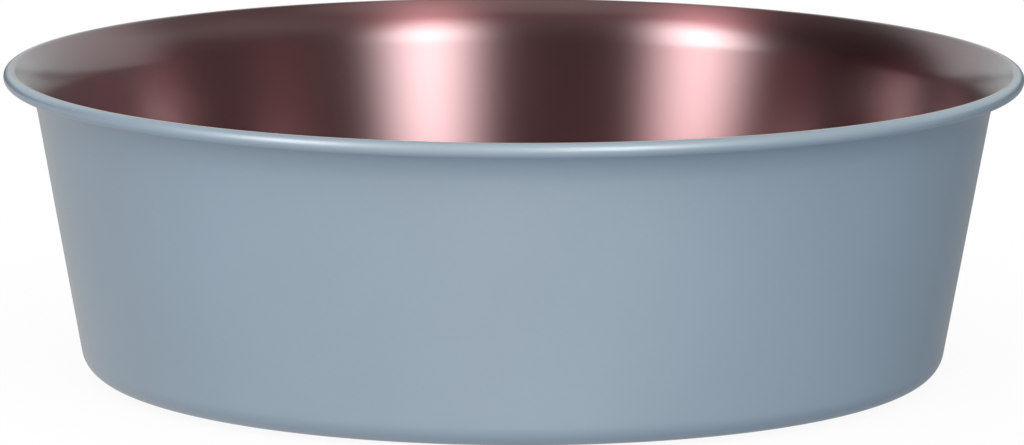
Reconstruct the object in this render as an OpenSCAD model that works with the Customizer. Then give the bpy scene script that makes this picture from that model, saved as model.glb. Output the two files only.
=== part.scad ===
/* [Bowl] */
// Outer diameter of the wall where the lip starts to flare
body_d = 196; // [160:0.2:260]
// Outer diameter at which the wall's slope would meet the base plane
base_d = 176.8; // [130:0.2:194]
// Height of the pressed bowl, from the base plane to the crest of the lip
bowl_h = 63; // [45:0.1:100]
// Thickness of the steel sheet
sheet_t = 0.7; // [0.5:0.05:1]
// Outer radius of the bend between the wall and the base
corner_r = 5.5; // [3:0.1:12]

/* [Lip] */
// How far the lip stands out from the wall
lip_w = 7; // [5:0.1:10]
// Height of the lip, from the start of the flare to the crest
lip_h = 9; // [6:0.1:12]
// Diameter of the rolled edge
roll_d = 3.1; // [2.2:0.1:4]
// Gap between the end of the rolled edge and the flare above it
roll_gap = 0.2; // [0.1:0.05:0.4]

/* [Recessed base] */
// Width of the flat foot between the corner bend and the recess
foot_w = 11; // [4:0.5:20]
// Height of the recess pressed up into the base
recess_h = 1.3; // [0.8:0.1:2.4]
// Larger radius of the two bends at the edge of the recess
recess_bend_r = 2; // [1.5:0.1:4]

/* [Rubber ring] */
// Thickness of the rubber ring
ring_t = 2; // [1.4:0.1:4]
// Width of the rubber ring
ring_w = 10; // [7:0.5:20]
// Clearance between the rubber ring and the bend round it
ring_gap = 0.5; // [0.2:0.1:2]
// Radius of the ring's two lower edges
ring_edge_r = 0.5; // [0.2:0.1:0.6]
// Number of grip grooves round the ring's underside
groove_count = 3; // [1:1:4]
// Radius of each grip groove's half-round section
groove_r = 0.4; // [0.2:0.05:0.6]

/* [Hidden] */
$fn = 144;

// Cutting shapes run past what they cut by this much
overrun = 1;

// The ring stands proud of the base plane, so the steel starts above the table
ring_proud = ring_t - recess_h;

// The wall leans out from the base; its outer face runs along wall_up, and wall_out is square to it
flare_start = [body_d/2, bowl_h - lip_h];
wall_lean = atan2(flare_start.x - base_d/2, flare_start.y);
wall_up = [sin(wall_lean), cos(wall_lean)];
wall_out = [cos(wall_lean), -sin(wall_lean)];

// Centre of the bend between wall and base, tangent to both
corner_c = [base_d/2 + corner_r*(tan(wall_lean) - 1/cos(wall_lean)), corner_r];

// Centre of the rolled edge, under the crest
roll_r = roll_d/2;
roll_c = [body_d/2 + lip_w - roll_r, bowl_h - roll_r];

// The flare leaves the wall at flare_start and runs into the rolled edge, tangent to both
roll_from_start = roll_c - flare_start;
flare_r = (roll_from_start*roll_from_start - pow(sheet_t - roll_r, 2))
    / (2*(roll_from_start*wall_out + sheet_t - roll_r));
flare_c = flare_start + flare_r*wall_out;
roll_side = atan2(roll_c.y - flare_c.y, roll_c.x - flare_c.x);

// Angle, seen from the roll's centre, left open between the flare and the end of the roll
flare_to_roll = norm(roll_c - flare_c);
roll_open = acos((pow(flare_r - roll_gap, 2) - pow(flare_to_roll, 2) - pow(roll_r, 2))
    / (2*flare_to_roll*roll_r));

// Two opposite bends carry the base sheet up from the foot to the floor of the recess
bend_span = 2*recess_bend_r - sheet_t;
bend_turn = acos(1 - recess_h/bend_span);
foot_bend_c = [corner_c.x - foot_w, recess_bend_r];
recess_bend_c = foot_bend_c - bend_span*[sin(bend_turn), cos(bend_turn)];

// The ring fills the outside of the recess
ring_outer_r = recess_bend_c.x - ring_gap;
ring_inner_r = ring_outer_r - ring_w;
groove_pitch = ring_w/(groove_count + 1);

function on_circle(centre, radius, angle) = centre + radius*[cos(angle), sin(angle)];

module disc(centre, radius) translate(centre) circle(radius);

// Half section of everything above the sheet's lower face, which is moved up into the sheet by depth
module above_sheet(depth, past = 0) {
    brow = on_circle(flare_c, flare_r + roll_d + past, roll_side - past);
    difference() {
        union() {
            polygon([
                [-past, recess_h + depth],
                [recess_bend_c.x, recess_h + depth],
                recess_bend_c,
                foot_bend_c,
                [foot_bend_c.x, depth],
                [corner_c.x, depth],
                corner_c,
                corner_c + (corner_r - depth)*wall_out,
                flare_start - depth*wall_out,
                flare_c,
                brow,
                [-past, brow.y]
            ]);
            disc(corner_c, corner_r - depth);
            disc(foot_bend_c, recess_bend_r - depth);
        }
        disc(recess_bend_c, recess_bend_r - sheet_t + depth);
        disc(flare_c, flare_r + depth);
    }
}

// Half section of the hollow roll that finishes the lip, open where it comes back to the flare
module roll_section() difference() {
    disc(roll_c, roll_r);
    disc(roll_c, roll_r - sheet_t);
    intersection() {
        disc(flare_c, flare_r);
        polygon([
            roll_c,
            on_circle(roll_c, roll_d, roll_side),
            on_circle(roll_c, roll_d, roll_side + roll_open/2),
            on_circle(roll_c, roll_d, roll_side + roll_open)
        ]);
    }
}

// One pressing: recessed base, wall, flare and rolled edge in a single thickness of sheet
module bowl() color("#919fac") translate([0, 0, ring_proud]) rotate_extrude() {
    difference() {
        above_sheet(0);
        above_sheet(sheet_t, overrun);
    }
    roll_section();
}

// Non-slip ring bonded into the recess, with rounded lower edges and grip grooves
module rubber_ring() color("#2b2c2e") rotate_extrude() difference() {
    union() {
        translate([ring_inner_r, ring_edge_r]) square([ring_w, ring_t - ring_edge_r]);
        translate([ring_inner_r + ring_edge_r, 0]) square([ring_w - 2*ring_edge_r, ring_t]);
        for (edge = [ring_inner_r + ring_edge_r, ring_outer_r - ring_edge_r])
            disc([edge, ring_edge_r], ring_edge_r);
    }
    for (i = [1:groove_count]) disc([ring_inner_r + i*groove_pitch, 0], groove_r);
}

bowl();
rubber_ring();
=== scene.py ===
import math

import bpy
from mathutils import Matrix, Vector


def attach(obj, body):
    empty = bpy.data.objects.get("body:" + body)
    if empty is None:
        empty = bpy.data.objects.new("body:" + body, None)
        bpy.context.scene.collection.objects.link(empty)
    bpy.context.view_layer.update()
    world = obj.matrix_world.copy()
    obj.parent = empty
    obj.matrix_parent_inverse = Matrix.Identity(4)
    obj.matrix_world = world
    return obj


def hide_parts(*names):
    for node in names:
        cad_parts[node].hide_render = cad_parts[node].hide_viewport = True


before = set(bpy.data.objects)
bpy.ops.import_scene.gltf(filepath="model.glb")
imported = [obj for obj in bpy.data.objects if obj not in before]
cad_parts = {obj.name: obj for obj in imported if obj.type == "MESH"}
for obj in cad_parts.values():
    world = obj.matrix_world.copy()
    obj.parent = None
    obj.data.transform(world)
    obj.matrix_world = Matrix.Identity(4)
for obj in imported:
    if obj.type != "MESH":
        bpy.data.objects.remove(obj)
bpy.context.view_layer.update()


def rad(degrees):
    return math.radians(degrees)


def onCircle(centre, radius, angle):
    return (centre[0] + radius * math.cos(angle), centre[1] + radius * math.sin(angle))


def arcPoints(centre, radius, startAngle, endAngle, steps):
    # points from startAngle to endAngle, both ends included
    return [
        onCircle(centre, radius, startAngle + (endAngle - startAngle) * i / steps)
        for i in range(steps + 1)
    ]


def linePoints(start, end):
    # points from start to end, both ends included, with a short step at each end so that smooth
    # shading from the next bend does not spread over the straight part
    return [
        (start[0] + (end[0] - start[0]) * share, start[1] + (end[1] - start[1]) * share)
        for share in (0, 0.02, 0.25, 0.5, 0.75, 0.98, 1)
    ]


def latheMesh(name, rings, faceSlots, turns):
    # rings: (radius, height) from first to last; faceSlots: one material index per strip between
    # two rings; a ring nearer to the axis than onAxis is a single point
    onAxis = 1e-7
    verts = []
    faces = []
    slots = []
    first = []
    for radius, height in rings:
        first.append(len(verts))
        if radius < onAxis:
            verts.append((0.0, 0.0, height))
            continue
        for k in range(turns):
            angle = 2 * math.pi * k / turns
            verts.append((radius * math.cos(angle), radius * math.sin(angle), height))
    for a in range(len(rings) - 1):
        b = a + 1
        for k in range(turns):
            n = (k + 1) % turns
            if rings[a][0] < onAxis:
                faces.append((first[a], first[b] + n, first[b] + k))
            elif rings[b][0] < onAxis:
                faces.append((first[a] + k, first[a] + n, first[b]))
            else:
                faces.append((first[a] + k, first[a] + n, first[b] + n, first[b] + k))
            slots.append(faceSlots[a])
    mesh = bpy.data.meshes.new(name)
    mesh.from_pydata(verts, [], faces)
    mesh.polygons.foreach_set("material_index", slots)
    mesh.update()
    return mesh


sharpEdgeAngle = rad(50)


def addPiece(name, mesh, materials, replacedNode):
    piece = bpy.data.objects.new(name, mesh)
    bpy.context.scene.collection.objects.link(piece)
    for material in materials:
        mesh.materials.append(material)
    mesh.shade_smooth()
    mesh.set_sharp_from_angle(angle=sharpEdgeAngle)
    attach(piece, "root")
    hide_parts(replacedNode)


def addNode(tree, kind, place, **settings):
    made = tree.nodes.new(kind)
    made.location = place
    for key, value in settings.items():
        setattr(made, key, value)
    return made


def setInputs(node, values):
    for label, value in values.items():
        node.inputs[label].default_value = value


def mathNode(tree, operation, place, *inputs):
    made = addNode(tree, "ShaderNodeMath", place, operation=operation)
    for index, value in enumerate(inputs):
        if isinstance(value, (int, float)):
            made.inputs[index].default_value = value
        else:
            tree.links.new(value, made.inputs[index])
    return made.outputs[0]


def rampNode(tree, place, value, low, high, first=0.0, last=1.0):
    # goes smoothly from first to last while the value goes from low to high
    made = addNode(tree, "ShaderNodeMapRange", place, interpolation_type="SMOOTHSTEP")
    setInputs(made, {"From Min": low, "From Max": high, "To Min": first, "To Max": last})
    tree.links.new(value, made.inputs["Value"])
    return made.outputs[0]


def mixColours(tree, place, factor, first, second, blend="MIX"):
    made = addNode(tree, "ShaderNodeMix", place, data_type="RGBA", blend_type=blend)
    # of a colour mix, inputs 0, 6 and 7 are the factor and the two colours and output 2 the result
    for index, value in ((0, factor), (6, first), (7, second)):
        socket = made.inputs[index]
        if isinstance(value, (int, float, tuple)):
            socket.default_value = value
        else:
            tree.links.new(value, socket)
    return made.outputs[2]


def newGroup(name, inputs, outputs):
    group = bpy.data.node_groups.new(name, "ShaderNodeTree")
    for label, kind, value in inputs:
        socket = group.interface.new_socket(label, in_out="INPUT", socket_type=kind)
        if value is not None:
            socket.default_value = value
    for label, kind in outputs:
        group.interface.new_socket(label, in_out="OUTPUT", socket_type=kind)
    start = addNode(group, "NodeGroupInput", (-900, 0))
    end = addNode(group, "NodeGroupOutput", (900, 0))
    return group, start, end


def placeGroup(tree, group, place, values):
    made = addNode(tree, "ShaderNodeGroup", place, node_tree=group)
    setInputs(made, values)
    return made


def newMaterial(name):
    material = bpy.data.materials.new(name)
    material.use_nodes = True
    tree = material.node_tree
    return material, tree, tree.nodes["Principled BSDF"]


# soft mottling: a slow change over the surface with a finer one on top, both about zero
def makeMottleGroup():
    group, start, end = newGroup(
        "surfaceMottle",
        [
            ("Patch Size", "NodeSocketFloat", 0.03),
            ("Fine Size", "NodeSocketFloat", 0.002),
            ("Fine Share", "NodeSocketFloat", 0.35),
        ],
        [("Mottle", "NodeSocketFloat"), ("Fine", "NodeSocketFloat")],
    )
    coords = addNode(group, "ShaderNodeTexCoord", (-900, 300))
    patch = addNode(group, "ShaderNodeTexNoise", (-400, 250))
    patch.inputs["Detail"].default_value = 3.0
    fine = addNode(group, "ShaderNodeTexNoise", (-400, -50))
    fine.inputs["Detail"].default_value = 2.0
    for noise, label in ((patch, "Patch Size"), (fine, "Fine Size")):
        scale = mathNode(group, "DIVIDE", (-650, noise.location.y), 1.0, start.outputs[label])
        group.links.new(scale, noise.inputs["Scale"])
        group.links.new(coords.outputs["Object"], noise.inputs["Vector"])
    slow = mathNode(group, "SUBTRACT", (-150, 250), patch.outputs["Fac"], 0.5)
    quick = mathNode(group, "SUBTRACT", (-150, -50), fine.outputs["Fac"], 0.5)
    share = mathNode(group, "MULTIPLY", (50, -50), quick, start.outputs["Fine Share"])
    both = mathNode(group, "ADD", (250, 100), slow, share)
    group.links.new(both, end.inputs["Mottle"])
    group.links.new(quick, end.inputs["Fine"])
    return group


# dust and tiny flecks: a sparse mask of round specks of a real size
def makeSpeckGroup():
    group, start, end = newGroup(
        "dustSpecks",
        [
            ("Spacing", "NodeSocketFloat", 0.012),
            ("Speck Size", "NodeSocketFloat", 0.0003),
            ("Share Kept", "NodeSocketFloat", 0.3),
        ],
        [("Specks", "NodeSocketFloat")],
    )
    coords = addNode(group, "ShaderNodeTexCoord", (-900, 300))
    scale = mathNode(group, "DIVIDE", (-650, 100), 1.0, start.outputs["Spacing"])
    cells = addNode(group, "ShaderNodeTexVoronoi", (-400, 250))
    cells.inputs["Randomness"].default_value = 1.0
    group.links.new(coords.outputs["Object"], cells.inputs["Vector"])
    group.links.new(scale, cells.inputs["Scale"])
    size = mathNode(group, "DIVIDE", (-400, -50), start.outputs["Speck Size"], start.outputs["Spacing"])
    near = mathNode(group, "LESS_THAN", (-100, 250), cells.outputs["Distance"], size)
    pick = addNode(group, "ShaderNodeSeparateColor", (-100, 50))
    group.links.new(cells.outputs["Color"], pick.inputs[0])
    kept = mathNode(group, "LESS_THAN", (150, 50), pick.outputs[0], start.outputs["Share Kept"])
    both = mathNode(group, "MULTIPLY", (400, 150), near, kept)
    group.links.new(both, end.inputs["Specks"])
    return group


# fine lines that run round the bowl's axis, as left by brushing or spinning
def makeBrushedGroup():
    group, start, end = newGroup(
        "roundBrushing",
        [
            ("Line Width", "NodeSocketFloat", 0.00025),
            ("Line Length", "NodeSocketFloat", 0.02),
        ],
        [("Lines", "NodeSocketFloat")],
    )
    coords = addNode(group, "ShaderNodeTexCoord", (-900, 300))
    split = addNode(group, "ShaderNodeSeparateXYZ", (-700, 300))
    group.links.new(coords.outputs["Object"], split.inputs[0])
    turn = mathNode(group, "ARCTAN2", (-500, 300), split.outputs["Y"], split.outputs["X"])
    xx = mathNode(group, "MULTIPLY", (-500, 150), split.outputs["X"], split.outputs["X"])
    yy = mathNode(group, "MULTIPLY", (-500, 0), split.outputs["Y"], split.outputs["Y"])
    radius = mathNode(group, "SQRT", (-150, 100), mathNode(group, "ADD", (-300, 100), xx, yy))
    across = mathNode(group, "DIVIDE", (0, 100), radius, start.outputs["Line Width"])
    up = mathNode(group, "DIVIDE", (0, -50), split.outputs["Z"], start.outputs["Line Width"])
    # line lengths hold at this distance from the axis
    usualRadius = 0.1
    reach = mathNode(group, "DIVIDE", (0, 300), usualRadius, start.outputs["Line Length"])
    cosine = mathNode(group, "MULTIPLY", (200, 400), mathNode(group, "COSINE", (0, 500), turn), reach)
    sine = mathNode(group, "MULTIPLY", (200, 250), mathNode(group, "SINE", (0, 400), turn), reach)
    slide = mathNode(group, "ADD", (200, 50), across, up)
    join = addNode(group, "ShaderNodeCombineXYZ", (400, 250))
    for index, value in enumerate((cosine, sine, slide)):
        group.links.new(value, join.inputs[index])
    noise = addNode(group, "ShaderNodeTexNoise", (600, 250))
    noise.inputs["Scale"].default_value = 1.0
    noise.inputs["Detail"].default_value = 4.0
    group.links.new(join.outputs[0], noise.inputs["Vector"])
    centred = mathNode(group, "SUBTRACT", (760, 100), noise.outputs["Fac"], 0.5)
    group.links.new(centred, end.inputs["Lines"])
    return group


mottleGroup = makeMottleGroup()
speckGroup = makeSpeckGroup()
brushedGroup = makeBrushedGroup()


def addMottle(tree, patchSize, fineSize, fineShare):
    values = {"Patch Size": patchSize, "Fine Size": fineSize, "Fine Share": fineShare}
    return placeGroup(tree, mottleGroup, (-1100, 300), values)


def addSpecks(tree, spacing, speckSize, shareKept):
    values = {"Spacing": spacing, "Speck Size": speckSize, "Share Kept": shareKept}
    return placeGroup(tree, speckGroup, (-1100, 0), values)


def scaled(colour, factor):
    return tuple(c * factor for c in colour[:3]) + (1,)


def mottledColour(tree, mottle, colour, contrast, darkest, lightest):
    # the colour, mottled between the darkest and the lightest share of itself
    spread = mathNode(tree, "MULTIPLY_ADD", (-850, 300), mottle.outputs["Mottle"], contrast, 0.5)
    return mixColours(tree, (-650, 300), spread, scaled(colour, darkest), scaled(colour, lightest))


def linkSpeckled(tree, shader, specks, tone, speckColour):
    speckled = mixColours(tree, (-450, 250), specks.outputs["Specks"], tone, speckColour)
    tree.links.new(speckled, shader.inputs["Base Color"])


def linkRoughness(tree, shader, pattern, amount, roughness):
    rough = mathNode(tree, "MULTIPLY_ADD", (-450, 50), pattern, amount, roughness)
    tree.links.new(rough, shader.inputs["Roughness"])


def linkBump(tree, shader, pattern, strength, distance):
    bump = addNode(tree, "ShaderNodeBump", (-450, -250))
    setInputs(bump, {"Strength": strength, "Distance": distance})
    tree.links.new(pattern, bump.inputs["Height"])
    tree.links.new(bump.outputs["Normal"], shader.inputs["Normal"])


bowl = {
    "bodyDiameter": 0.1960,      # outside of the wall where the lip starts to flare
    "baseDiameter": 0.1768,      # where the slope of the wall would meet the base plane
    "height": 0.0630,            # from the base plane to the crest of the lip
    "sheet": 0.0007,
    "cornerRadius": 0.0055,
    "lipWidth": 0.0070,
    "lipHeight": 0.0090,
    "rollDiameter": 0.0031,
    "rollGap": 0.0002,
    "footWidth": 0.011,
    "recessHeight": 0.0013,
    "recessBendRadius": 0.002,
    "standsProud": 0.0007,       # how far the rubber ring lifts the steel off the table
    "turns": 360,                # mesh steps round the axis
    "bendSteps": 10,             # mesh steps along the section's arcs
    "cornerSteps": 20,
    "flareSteps": 24,
    "rollInsideSteps": 32,
    "rollOutsideSteps": 72,
    # mottle: patch size and fine size in metres, share of the fine part; tone: contrast, darkest
    # and lightest share of the colour; specks: spacing and size in metres, share kept
    "paintColour": (0.252, 0.324, 0.402, 1),
    "paintMottle": (0.045, 0.0012, 0.3),
    "paintTone": (1.4, 0.955, 1.045),
    "paintSpecks": (0.014, 0.00018, 0.22),
    "paintSpeckColour": (0.50, 0.54, 0.58, 1),
    "paintRoughness": 0.44,
    "paintRoughnessMottle": 0.10,
    "paintSpecular": 1.0,
    "paintCoatRoughness": 0.24,
    "paintCoatIor": 1.47,
    "paintPeelScale": 900.0,     # orange peel of the coat, per metre
    "paintPeelStrength": 0.5,
    "paintPeelDepth": 0.000012,
    "roseColour": (0.280, 0.116, 0.126, 1),
    "roseMottle": (0.03, 0.0015, 0.25),
    "roseTone": (1.2, 0.94, 1.06),
    "roseSpecks": (0.016, 0.0002, 0.3),
    "roseSpeckColour": (0.75, 0.62, 0.62, 1),
    "roseLineWidth": 0.0008,     # of the brushing
    "roseLineLength": 0.04,
    "roseRoughness": 0.368,
    "roseRoughnessMottle": 0.05,
    "roseRoughnessLines": 0.04,
    "roseAnisotropy": 0.965,     # brushed round the axis, so highlights stretch up and down
    "roseCoatRoughness": 0.190,  # a clear coat lies on the rose metal
    "roseCoatIor": 1.90,
    "edgeColour": (0.58, 0.54, 0.56, 1),
    "edgeMottle": (0.006, 0.0006, 0.5),
    "edgeTone": (1.6, 0.85, 1.0),
    "edgeMetallic": 0.7,
    "edgeRoughness": 0.36,
    "edgeRoughnessMottle": 0.1,
    "edgeWidth": 0.0006,         # pale line where the coat stops at the crest
}

# the same tangent arcs as the CAD section, worked out from the same sizes
sheet = bowl["sheet"]
flareStart = (bowl["bodyDiameter"] / 2, bowl["height"] - bowl["lipHeight"])
wallLean = math.atan2(flareStart[0] - bowl["baseDiameter"] / 2, flareStart[1])
wallOut = (math.cos(wallLean), -math.sin(wallLean))
cornerRadius = bowl["cornerRadius"]
cornerCentre = (
    bowl["baseDiameter"] / 2 + cornerRadius * (math.tan(wallLean) - 1 / math.cos(wallLean)),
    cornerRadius,
)
rollRadius = bowl["rollDiameter"] / 2
rollCentre = (
    bowl["bodyDiameter"] / 2 + bowl["lipWidth"] - rollRadius,
    bowl["height"] - rollRadius,
)
rollFromStart = (rollCentre[0] - flareStart[0], rollCentre[1] - flareStart[1])
flareRadius = (rollFromStart[0] ** 2 + rollFromStart[1] ** 2 - (sheet - rollRadius) ** 2) / (
    2 * (rollFromStart[0] * wallOut[0] + rollFromStart[1] * wallOut[1] + sheet - rollRadius)
)
flareCentre = (flareStart[0] + flareRadius * wallOut[0], flareStart[1] + flareRadius * wallOut[1])
rollSide = math.atan2(rollCentre[1] - flareCentre[1], rollCentre[0] - flareCentre[0])
flareToRoll = math.hypot(rollCentre[0] - flareCentre[0], rollCentre[1] - flareCentre[1])
rollOpen = math.acos(
    ((flareRadius - bowl["rollGap"]) ** 2 - flareToRoll ** 2 - rollRadius ** 2)
    / (2 * flareToRoll * rollRadius)
)
bendRadius = bowl["recessBendRadius"]
bendSpan = 2 * bendRadius - sheet
bendTurn = math.acos(1 - bowl["recessHeight"] / bendSpan)
footBendCentre = (cornerCentre[0] - bowl["footWidth"], bendRadius)
recessBendCentre = (
    footBendCentre[0] - bendSpan * math.sin(bendTurn),
    footBendCentre[1] - bendSpan * math.cos(bendTurn),
)

paintSlot, roseSlot, edgeSlot = 0, 1, 2


def sheetSide(depth):
    # one face of the sheet from the axis to the end of the flare; depth 0 is the lower face
    floorHeight = bowl["recessHeight"] + depth
    inset = (-depth * wallOut[0], -depth * wallOut[1])
    cornerEnd = onCircle(cornerCentre, cornerRadius - depth, -wallLean)
    flareFoot = (flareStart[0] + inset[0], flareStart[1] + inset[1])
    points = linePoints((0, floorHeight), (recessBendCentre[0], floorHeight))
    points += arcPoints(
        recessBendCentre, bendRadius - sheet + depth, rad(90), rad(90) - bendTurn, bowl["bendSteps"]
    )[1:]
    points += arcPoints(
        footBendCentre, bendRadius - depth, rad(270) - bendTurn, rad(270), bowl["bendSteps"]
    )[1:]
    points += linePoints((footBendCentre[0], depth), (cornerCentre[0], depth))[1:]
    points += arcPoints(
        cornerCentre, cornerRadius - depth, rad(-90), -wallLean, bowl["cornerSteps"]
    )[1:]
    points += linePoints(cornerEnd, flareFoot)[1:]
    points += arcPoints(
        flareCentre, flareRadius + depth, rad(180) - wallLean, rollSide, bowl["flareSteps"]
    )[1:]
    return points


lowerFace = sheetSide(0)
upperFace = sheetSide(sheet)
rollEnd = rollSide + rollOpen - 2 * math.pi
rollInside = arcPoints(
    rollCentre, rollRadius - sheet, rollSide, rollEnd, bowl["rollInsideSteps"]
)[1:]
rollOutside = arcPoints(rollCentre, rollRadius, rollEnd, rollSide, bowl["rollOutsideSteps"])
edgeAngle = bowl["edgeWidth"] / rollRadius

rings = lowerFace + rollInside + rollOutside + list(reversed(upperFace))[1:]
faceSlots = []
coatedSide = len(lowerFace) + len(rollInside)
rollStrips = range(coatedSide, coatedSide + len(rollOutside) - 1)
for strip in range(len(rings) - 1):
    if strip < coatedSide:
        faceSlots.append(paintSlot)
    elif strip in rollStrips:
        share = (strip - coatedSide + 0.5) / (len(rollOutside) - 1)
        angle = rollEnd + (rollSide - rollEnd) * share
        if angle < rad(90) - edgeAngle / 2:
            faceSlots.append(paintSlot)
        elif angle < rad(90) + edgeAngle / 2:
            faceSlots.append(edgeSlot)
        else:
            faceSlots.append(roseSlot)
    else:
        faceSlots.append(roseSlot)
rings = [(radius, height + bowl["standsProud"]) for radius, height in rings]


def makePaint():
    material, tree, shader = newMaterial("blueGreyPaint")
    mottle = addMottle(tree, *bowl["paintMottle"])
    specks = addSpecks(tree, *bowl["paintSpecks"])
    tone = mottledColour(tree, mottle, bowl["paintColour"], *bowl["paintTone"])
    linkSpeckled(tree, shader, specks, tone, bowl["paintSpeckColour"])
    linkRoughness(
        tree, shader, mottle.outputs["Mottle"], bowl["paintRoughnessMottle"], bowl["paintRoughness"]
    )
    setInputs(shader, {
        "Coat Weight": 1.0,
        "Coat Roughness": bowl["paintCoatRoughness"],
        "Coat IOR": bowl["paintCoatIor"],
        "Specular IOR Level": bowl["paintSpecular"],
    })
    coords = addNode(tree, "ShaderNodeTexCoord", (-1100, -250))
    peel = addNode(tree, "ShaderNodeTexNoise", (-850, -250))
    setInputs(peel, {"Scale": bowl["paintPeelScale"], "Detail": 1.5})
    tree.links.new(coords.outputs["Object"], peel.inputs["Vector"])
    linkBump(tree, shader, peel.outputs["Fac"], bowl["paintPeelStrength"], bowl["paintPeelDepth"])
    return material


def makeRose():
    material, tree, shader = newMaterial("roseMetal")
    mottle = addMottle(tree, *bowl["roseMottle"])
    specks = addSpecks(tree, *bowl["roseSpecks"])
    lineSizes = {"Line Width": bowl["roseLineWidth"], "Line Length": bowl["roseLineLength"]}
    lines = placeGroup(tree, brushedGroup, (-1100, -250), lineSizes)
    tone = mottledColour(tree, mottle, bowl["roseColour"], *bowl["roseTone"])
    linkSpeckled(tree, shader, specks, tone, bowl["roseSpeckColour"])
    patchy = mathNode(
        tree, "MULTIPLY_ADD", (-650, 50),
        mottle.outputs["Mottle"], bowl["roseRoughnessMottle"], bowl["roseRoughness"],
    )
    linkRoughness(tree, shader, lines.outputs["Lines"], bowl["roseRoughnessLines"], patchy)
    around = addNode(tree, "ShaderNodeTangent", (-450, -200), direction_type="RADIAL", axis="Z")
    tree.links.new(around.outputs["Tangent"], shader.inputs["Tangent"])
    setInputs(shader, {
        "Metallic": 1.0,
        "Anisotropic": bowl["roseAnisotropy"],
        "Anisotropic Rotation": 0.25,
        "Coat Weight": 1.0,
        "Coat Roughness": bowl["roseCoatRoughness"],
        "Coat IOR": bowl["roseCoatIor"],
    })
    return material


def makeEdge():
    material, tree, shader = newMaterial("paleEdge")
    mottle = addMottle(tree, *bowl["edgeMottle"])
    tone = mottledColour(tree, mottle, bowl["edgeColour"], *bowl["edgeTone"])
    tree.links.new(tone, shader.inputs["Base Color"])
    setInputs(shader, {"Metallic": bowl["edgeMetallic"]})
    linkRoughness(
        tree, shader, mottle.outputs["Mottle"], bowl["edgeRoughnessMottle"], bowl["edgeRoughness"]
    )
    return material


bowlMesh = latheMesh("pressedBowl", rings, faceSlots, bowl["turns"])
addPiece("pressedBowl", bowlMesh, [makePaint(), makeRose(), makeEdge()], "bowl")
lowest = min(height for radius, height in rings)
highest = max(height for radius, height in rings)
widest = max(radius for radius, height in rings)
print(
    "bowl lathed:", len(bowlMesh.polygons), "faces, radius", round(widest, 5),
    "heights", round(lowest, 5), round(highest, 5),
)


rubberRing = {
    "colour": (0.020, 0.020, 0.022, 1),
    "mottle": (0.012, 0.0004, 0.6),
    "tone": (1.5, 0.75, 1.3),
    "specks": (0.004, 0.00012, 0.4),
    "speckColour": (0.12, 0.12, 0.125, 1),
    "roughness": 0.62,
    "roughnessMottle": 0.15,
    "grainStrength": 0.6,
    "grainDepth": 0.00003,
}


def makeRubber():
    material, tree, shader = newMaterial("blackRubber")
    mottle = addMottle(tree, *rubberRing["mottle"])
    specks = addSpecks(tree, *rubberRing["specks"])
    tone = mottledColour(tree, mottle, rubberRing["colour"], *rubberRing["tone"])
    linkSpeckled(tree, shader, specks, tone, rubberRing["speckColour"])
    linkRoughness(
        tree, shader, mottle.outputs["Mottle"], rubberRing["roughnessMottle"], rubberRing["roughness"]
    )
    linkBump(
        tree, shader, mottle.outputs["Fine"], rubberRing["grainStrength"], rubberRing["grainDepth"]
    )
    return material


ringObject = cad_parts["rubber_ring"]
ringObject.data.materials.clear()
ringObject.data.materials.append(makeRubber())
print("rubber ring finished")


# directions are unit vectors: X to the camera's right, Y away from the camera, Z up; azimuth is
# in degrees, 0 on the camera's side and positive to its right
stage = {
    "floorRadius": 9.0,
    "floorTurns": 96,            # mesh steps round the floor
    "floorColour": (0.92, 0.92, 0.92, 1),
    "floorWhiteShare": 0.92,     # white in what the camera sees near the bowl; the rest is lit floor
    "fadeFrom": 0.25,            # the floor fades to the backdrop's white between these radii
    "fadeTo": 0.7,
    "horizonBlur": 0.02,         # the change at the horizon takes this much on either side
    "groundLight": (0.22, 0.28, 0.37, 1),    # plain light on matt surfaces from below
    "skyLight": (0.16, 0.16, 0.13, 1),       # and from above
    # broad soft lights on matt surfaces: colour, azimuth, elevation
    "broadLights": [
        ((1.98, 1.95, 1.83, 1), 2, 26),
        ((0.46, 0.52, 0.65, 1), -130, 25),
        ((0.60, 0.60, 0.62, 1), 174, 38),
    ],
    "lightSpread": (0.3, 0.95),  # cosine of the angle from a light's middle, edge to full
    # the studio as metal and gloss see it
    "roomLeft": (0.02, 0.02, 0.02, 1),       # unlit, on the camera's side and to the left
    "roomRight": (0.13, 0.115, 0.115, 1),    # and to the right
    "roomUpper": (0.13, 0.11, 0.11, 1),      # higher up on the camera's side
    "roomUpperRight": (0.62, 0.58, 0.56, 1),
    "roomBehind": (0.60, 0.67, 0.67, 1),     # the lit wall behind the bowl
    "roomLow": (0.03, 0.03, 0.03, 1),        # the unlit strip along the foot of that wall
    "roomAbove": (0.18, 0.18, 0.18, 1),      # what lies above that wall
    "ceiling": (0.50, 0.48, 0.46, 1),
    "floorLeft": (0.52, 0.52, 0.50, 1),
    "floorRight": (0.13, 0.15, 0.18, 1),
    # where one part of that studio goes over into the next, in parts of the direction
    "wallTurn": 0.25,            # the wall reaches further round on the right
    "wallFrom": (0.28, 0.62),    # away from the camera
    "wallTop": (0.53, 0.75),     # up
    "wallFoot": 0.09,            # the wall goes on below the horizon by this much
    "stripRise": (0.27, 0.035),  # top of the strip is the lower of two lines: slope to the side, start
    "stripFall": (-0.05, 0.17),
    "stripBlur": 0.03,           # the change at the strip's top takes this much on either side
    "ceilingFrom": (0.90, 0.98),             # up
    "ceilingDrop": 0.06,         # the ceiling reaches lower at both sides
    "rightFrom": (0.3, 0.95),    # to the right
    "upperFrom": (0.42, 0.82),   # up
    "upperLeftFrom": (-0.92, -0.5),          # to the right, from the unlit left to roomUpper
    "floorTurn": (-0.3, 0.8),    # to the right
}


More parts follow.
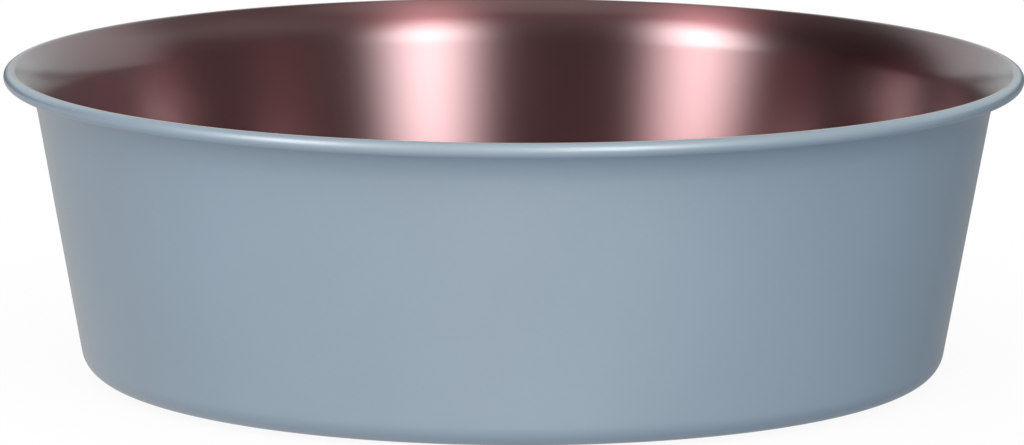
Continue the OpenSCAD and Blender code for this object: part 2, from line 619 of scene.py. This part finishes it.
def makeFloor():
    material = bpy.data.materials.new("paleFloor")
    material.use_nodes = True
    tree = material.node_tree
    tree.nodes.clear()
    output = addNode(tree, "ShaderNodeOutputMaterial", (900, 0))
    diffuse = addNode(tree, "ShaderNodeBsdfDiffuse", (-100, 100))
    diffuse.inputs["Color"].default_value = stage["floorColour"]
    white = addNode(tree, "ShaderNodeEmission", (-100, -100))
    white.inputs["Strength"].default_value = 1.0
    clear = addNode(tree, "ShaderNodeBsdfTransparent", (-100, -250))
    coords = addNode(tree, "ShaderNodeTexCoord", (-900, 0))
    reach = addNode(tree, "ShaderNodeVectorMath", (-700, 0), operation="LENGTH")
    tree.links.new(coords.outputs["Object"], reach.inputs[0])
    fade = rampNode(
        tree, (-500, 0), reach.outputs["Value"],
        stage["fadeFrom"], stage["fadeTo"], stage["floorWhiteShare"], 1.0,
    )
    path = addNode(tree, "ShaderNodeLightPath", (-500, 350))
    seen = mathNode(tree, "MULTIPLY", (-100, 350), path.outputs["Is Camera Ray"], fade)
    lit = addNode(tree, "ShaderNodeMixShader", (200, 100))
    tree.links.new(seen, lit.inputs[0])
    tree.links.new(diffuse.outputs[0], lit.inputs[1])
    tree.links.new(white.outputs[0], lit.inputs[2])
    below = addNode(tree, "ShaderNodeNewGeometry", (200, 350))
    oneSided = addNode(tree, "ShaderNodeMixShader", (500, 0))
    tree.links.new(below.outputs["Backfacing"], oneSided.inputs[0])
    tree.links.new(lit.outputs[0], oneSided.inputs[1])
    tree.links.new(clear.outputs[0], oneSided.inputs[2])
    tree.links.new(oneSided.outputs[0], output.inputs["Surface"])
    return material


floorMesh = latheMesh("studioFloor", [(stage["floorRadius"], 0), (0, 0)], [0], stage["floorTurns"])
floorPiece = bpy.data.objects.new("studioFloor", floorMesh)
bpy.context.scene.collection.objects.link(floorPiece)
floorMesh.materials.append(makeFloor())
floorPiece.visible_diffuse = False
floorPiece.visible_glossy = False
floorPiece.visible_transmission = False
floorPiece.visible_shadow = False


def mattLight(tree, direction, up):
    # what matt surfaces see
    above = rampNode(tree, (-550, -50), up, -stage["horizonBlur"], stage["horizonBlur"])
    light = mixColours(tree, (-350, -50), above, stage["groundLight"], stage["skyLight"])
    for colour, azimuth, elevation in stage["broadLights"]:
        turn, rise = rad(azimuth), rad(elevation)
        facing = addNode(tree, "ShaderNodeVectorMath", (-800, 250), operation="DOT_PRODUCT")
        facing.inputs[1].default_value = (
            math.sin(turn) * math.cos(rise), -math.cos(turn) * math.cos(rise), math.sin(rise)
        )
        tree.links.new(direction, facing.inputs[0])
        share = rampNode(tree, (-550, 250), facing.outputs["Value"], *stage["lightSpread"])
        lamplight = mixColours(tree, (-350, 250), share, (0, 0, 0, 1), colour)
        light = mixColours(tree, (-200, 100), 1.0, light, lamplight, "ADD")
    return light


def wallBehind(tree, aside, up):
    # a lit wall with an unlit strip along its foot, and a darker part above it
    rising = mathNode(tree, "MULTIPLY_ADD", (-800, -550), aside, *stage["stripRise"])
    falling = mathNode(tree, "MULTIPLY_ADD", (-800, -700), aside, *stage["stripFall"])
    stripTop = mathNode(tree, "MINIMUM", (-700, -600), rising, falling)
    fromTop = mathNode(tree, "SUBTRACT", (-650, -350), up, stripTop)
    overStrip = rampNode(tree, (-550, -350), fromTop, -stage["stripBlur"], stage["stripBlur"])
    litWall = mixColours(tree, (-450, -350), overStrip, stage["roomLow"], stage["roomBehind"])
    overWall = rampNode(tree, (-550, -250), up, *stage["wallTop"])
    return mixColours(tree, (-350, -350), overWall, litWall, stage["roomAbove"])


def studioFront(tree, right, up):
    rightSide = rampNode(tree, (-550, -850), right, *stage["rightFrom"])
    low = mixColours(tree, (-450, -750), rightSide, stage["roomLeft"], stage["roomRight"])
    notLeft = rampNode(tree, (-750, -1050), right, *stage["upperLeftFrom"])
    upperLeft = mixColours(tree, (-600, -1050), notLeft, stage["roomLeft"], stage["roomUpper"])
    high = mixColours(tree, (-450, -900), rightSide, upperLeft, stage["roomUpperRight"])
    raised = rampNode(tree, (-550, -950), up, *stage["upperFrom"])
    return mixColours(tree, (-350, -750), raised, low, high)


def mirroredStudio(tree, right, away, up):
    # what metal and gloss see
    aside = mathNode(tree, "ABSOLUTE", (-900, -500), right)
    rearwards = mathNode(tree, "MULTIPLY_ADD", (-700, -450), right, stage["wallTurn"], away)
    behind = rampNode(tree, (-550, -450), rearwards, *stage["wallFrom"])
    front = studioFront(tree, right, up)
    around = mixColours(tree, (-200, -450), behind, front, wallBehind(tree, aside, up))
    towardsCeiling = mathNode(tree, "MULTIPLY_ADD", (-700, -650), aside, stage["ceilingDrop"], up)
    overhead = rampNode(tree, (-550, -650), towardsCeiling, *stage["ceilingFrom"])
    upper = mixColours(tree, (-100, -550), overhead, around, stage["ceiling"])
    rightFloor = rampNode(tree, (-350, -150), right, *stage["floorTurn"])
    lower = mixColours(tree, (-100, -150), rightFloor, stage["floorLeft"], stage["floorRight"])
    footing = mathNode(tree, "MULTIPLY_ADD", (-250, -50), behind, stage["wallFoot"], up)
    overFloor = rampNode(tree, (-100, -50), footing, -stage["horizonBlur"], stage["horizonBlur"])
    return mixColours(tree, (50, -250), overFloor, lower, upper)


def makeWorld():
    world = bpy.data.worlds.new("studioWorld")
    bpy.context.scene.world = world
    world.use_nodes = True
    tree = world.node_tree
    tree.nodes.clear()
    output = addNode(tree, "ShaderNodeOutputWorld", (1100, 0))
    background = addNode(tree, "ShaderNodeBackground", (850, 0))
    path = addNode(tree, "ShaderNodeLightPath", (-500, 400))
    coords = addNode(tree, "ShaderNodeTexCoord", (-1000, -100))
    split = addNode(tree, "ShaderNodeSeparateXYZ", (-800, -100))
    tree.links.new(coords.outputs["Generated"], split.inputs[0])
    right, away, up = split.outputs
    plain = mattLight(tree, coords.outputs["Generated"], up)
    mirrored = mirroredStudio(tree, right, away, up)
    gloss = mathNode(
        tree, "MAXIMUM", (50, 300), path.outputs["Is Glossy Ray"], path.outputs["Is Transmission Ray"]
    )
    seen = mixColours(tree, (350, 0), gloss, plain, mirrored)
    shown = mixColours(tree, (600, 0), path.outputs["Is Camera Ray"], seen, (1, 1, 1, 1))
    tree.links.new(shown, background.inputs["Color"])
    tree.links.new(background.outputs[0], output.inputs["Surface"])


makeWorld()


# upright panels that stand on the floor, in metres, azimuth as in the stage; a glow as wide as
# glowWidth fades out from its middle line to both sides, lean moves that line sideways per metre
# of height, and heights gives the share of the full glow against the height, from low to high
softboxes = {
    "rightSoftbox": {
        "azimuth": 22.15,
        "distance": 1.3,
        "panelWidth": 1.5,
        "glowWidth": 1.08,
        "lean": 0.045,
        "radiance": 8.8,
        "heights": [
            (0.28, 0.62), (0.46, 1.0), (0.90, 1.0), (1.25, 0.66), (1.60, 0.36), (2.40, 0.0)
        ],
    },
    "leftSoftbox": {
        "azimuth": -48.55,
        "distance": 1.3,
        "panelWidth": 1.7,
        "glowWidth": 1.13,
        "lean": -0.12,
        "radiance": 8.9,
        "heights": [(0.26, 0.37), (0.48, 1.0), (1.10, 1.0), (1.55, 0.45), (2.40, 0.0)],
    },
}
glowFalloff = 1.6                # a power above 1 makes the sides of the glow fainter


def makeGlow(lampData, middle, sideways, box):
    lampData.use_nodes = True
    tree = lampData.node_tree
    surface = addNode(tree, "ShaderNodeNewGeometry", (-1300, 0))
    offset = addNode(tree, "ShaderNodeVectorMath", (-1100, 0), operation="SUBTRACT")
    offset.inputs[1].default_value = middle
    tree.links.new(surface.outputs["Position"], offset.inputs[0])
    across = addNode(tree, "ShaderNodeVectorMath", (-900, 100), operation="DOT_PRODUCT")
    across.inputs[1].default_value = sideways
    tree.links.new(offset.outputs[0], across.inputs[0])
    split = addNode(tree, "ShaderNodeSeparateXYZ", (-1100, -200))
    tree.links.new(surface.outputs["Position"], split.inputs[0])
    up = split.outputs["Z"]
    leaning = mathNode(
        tree, "MULTIPLY_ADD", (-850, -50), up, -box["lean"], across.outputs["Value"]
    )
    aside = mathNode(tree, "ABSOLUTE", (-700, 100), leaning)
    bell = rampNode(tree, (-500, 100), aside, 0.0, box["glowWidth"] / 2, 1.0, 0.0)
    share = mathNode(tree, "POWER", (-350, 100), bell, glowFalloff)
    # one factor per stretch of the heights: a rise starts at its share, a fall ends at its ratio
    for index, ((low, below), (high, beyond)) in enumerate(zip(box["heights"], box["heights"][1:])):
        if below != beyond:
            fromShare = below if below < beyond else 1.0
            toShare = beyond / below if beyond < below else 1.0
            step = rampNode(tree, (-500, -150 * index), up, low, high, fromShare, toShare)
            share = mathNode(tree, "MULTIPLY", (-250, -150 * index), share, step)
    tree.links.new(share, tree.nodes["Emission"].inputs["Strength"])


for lampName, box in softboxes.items():
    lampData = bpy.data.lights.new(lampName, "AREA")
    lampData.shape = "RECTANGLE"
    lampData.size = box["panelWidth"]
    lampData.size_y = box["heights"][-1][0]
    lampData.energy = box["radiance"] * math.pi * lampData.size * lampData.size_y
    lamp = bpy.data.objects.new(lampName, lampData)
    bpy.context.scene.collection.objects.link(lamp)
    turn = rad(box["azimuth"])
    lamp.location = (
        box["distance"] * math.sin(turn), -box["distance"] * math.cos(turn), lampData.size_y / 2
    )
    towards = Vector((-math.sin(turn), math.cos(turn), 0))
    lamp.rotation_euler = towards.to_track_quat("-Z", "Y").to_euler()
    lamp.visible_camera = False
    lamp.visible_diffuse = False
    makeGlow(lampData, lamp.location, (math.cos(turn), math.sin(turn), 0), box)


viewpoint = {
    "aimHeight": 0.06245,        # near the middle of the rolled edge
    "distance": 1.50738,         # of the camera from that point
    "elevation": 8.2792,         # in degrees
    "turnRight": -0.0097,        # small trims of the aim, in degrees
    "turnUp": -1.1801,
    "roll": 0.2347,
    "focalLength": 257.07,
    "sensorWidth": 36.0,
    "clipStart": 0.05,
    "clipEnd": 60,
}

cameraData = bpy.data.cameras.new("photoCamera")
cameraData.sensor_width = viewpoint["sensorWidth"]
cameraData.lens = viewpoint["focalLength"]
cameraData.clip_start = viewpoint["clipStart"]
cameraData.clip_end = viewpoint["clipEnd"]
camera = bpy.data.objects.new("photoCamera", cameraData)
bpy.context.scene.collection.objects.link(camera)
lift = rad(viewpoint["elevation"])
cameraPlace = Vector((
    0,
    -viewpoint["distance"] * math.cos(lift),
    viewpoint["aimHeight"] + viewpoint["distance"] * math.sin(lift),
))
camera.matrix_world = (
    Matrix.Translation(cameraPlace)
    @ Matrix.Rotation(rad(90) - lift, 4, "X")
    @ Matrix.Rotation(rad(-viewpoint["turnRight"]), 4, "Y")
    @ Matrix.Rotation(rad(viewpoint["turnUp"]), 4, "X")
    @ Matrix.Rotation(rad(viewpoint["roll"]), 4, "Z")
)
bpy.context.scene.camera = camera
bpy.context.scene.view_settings.view_transform = "Standard"
print("stage, lamps and camera ready")

bpy.context.view_layer.update()
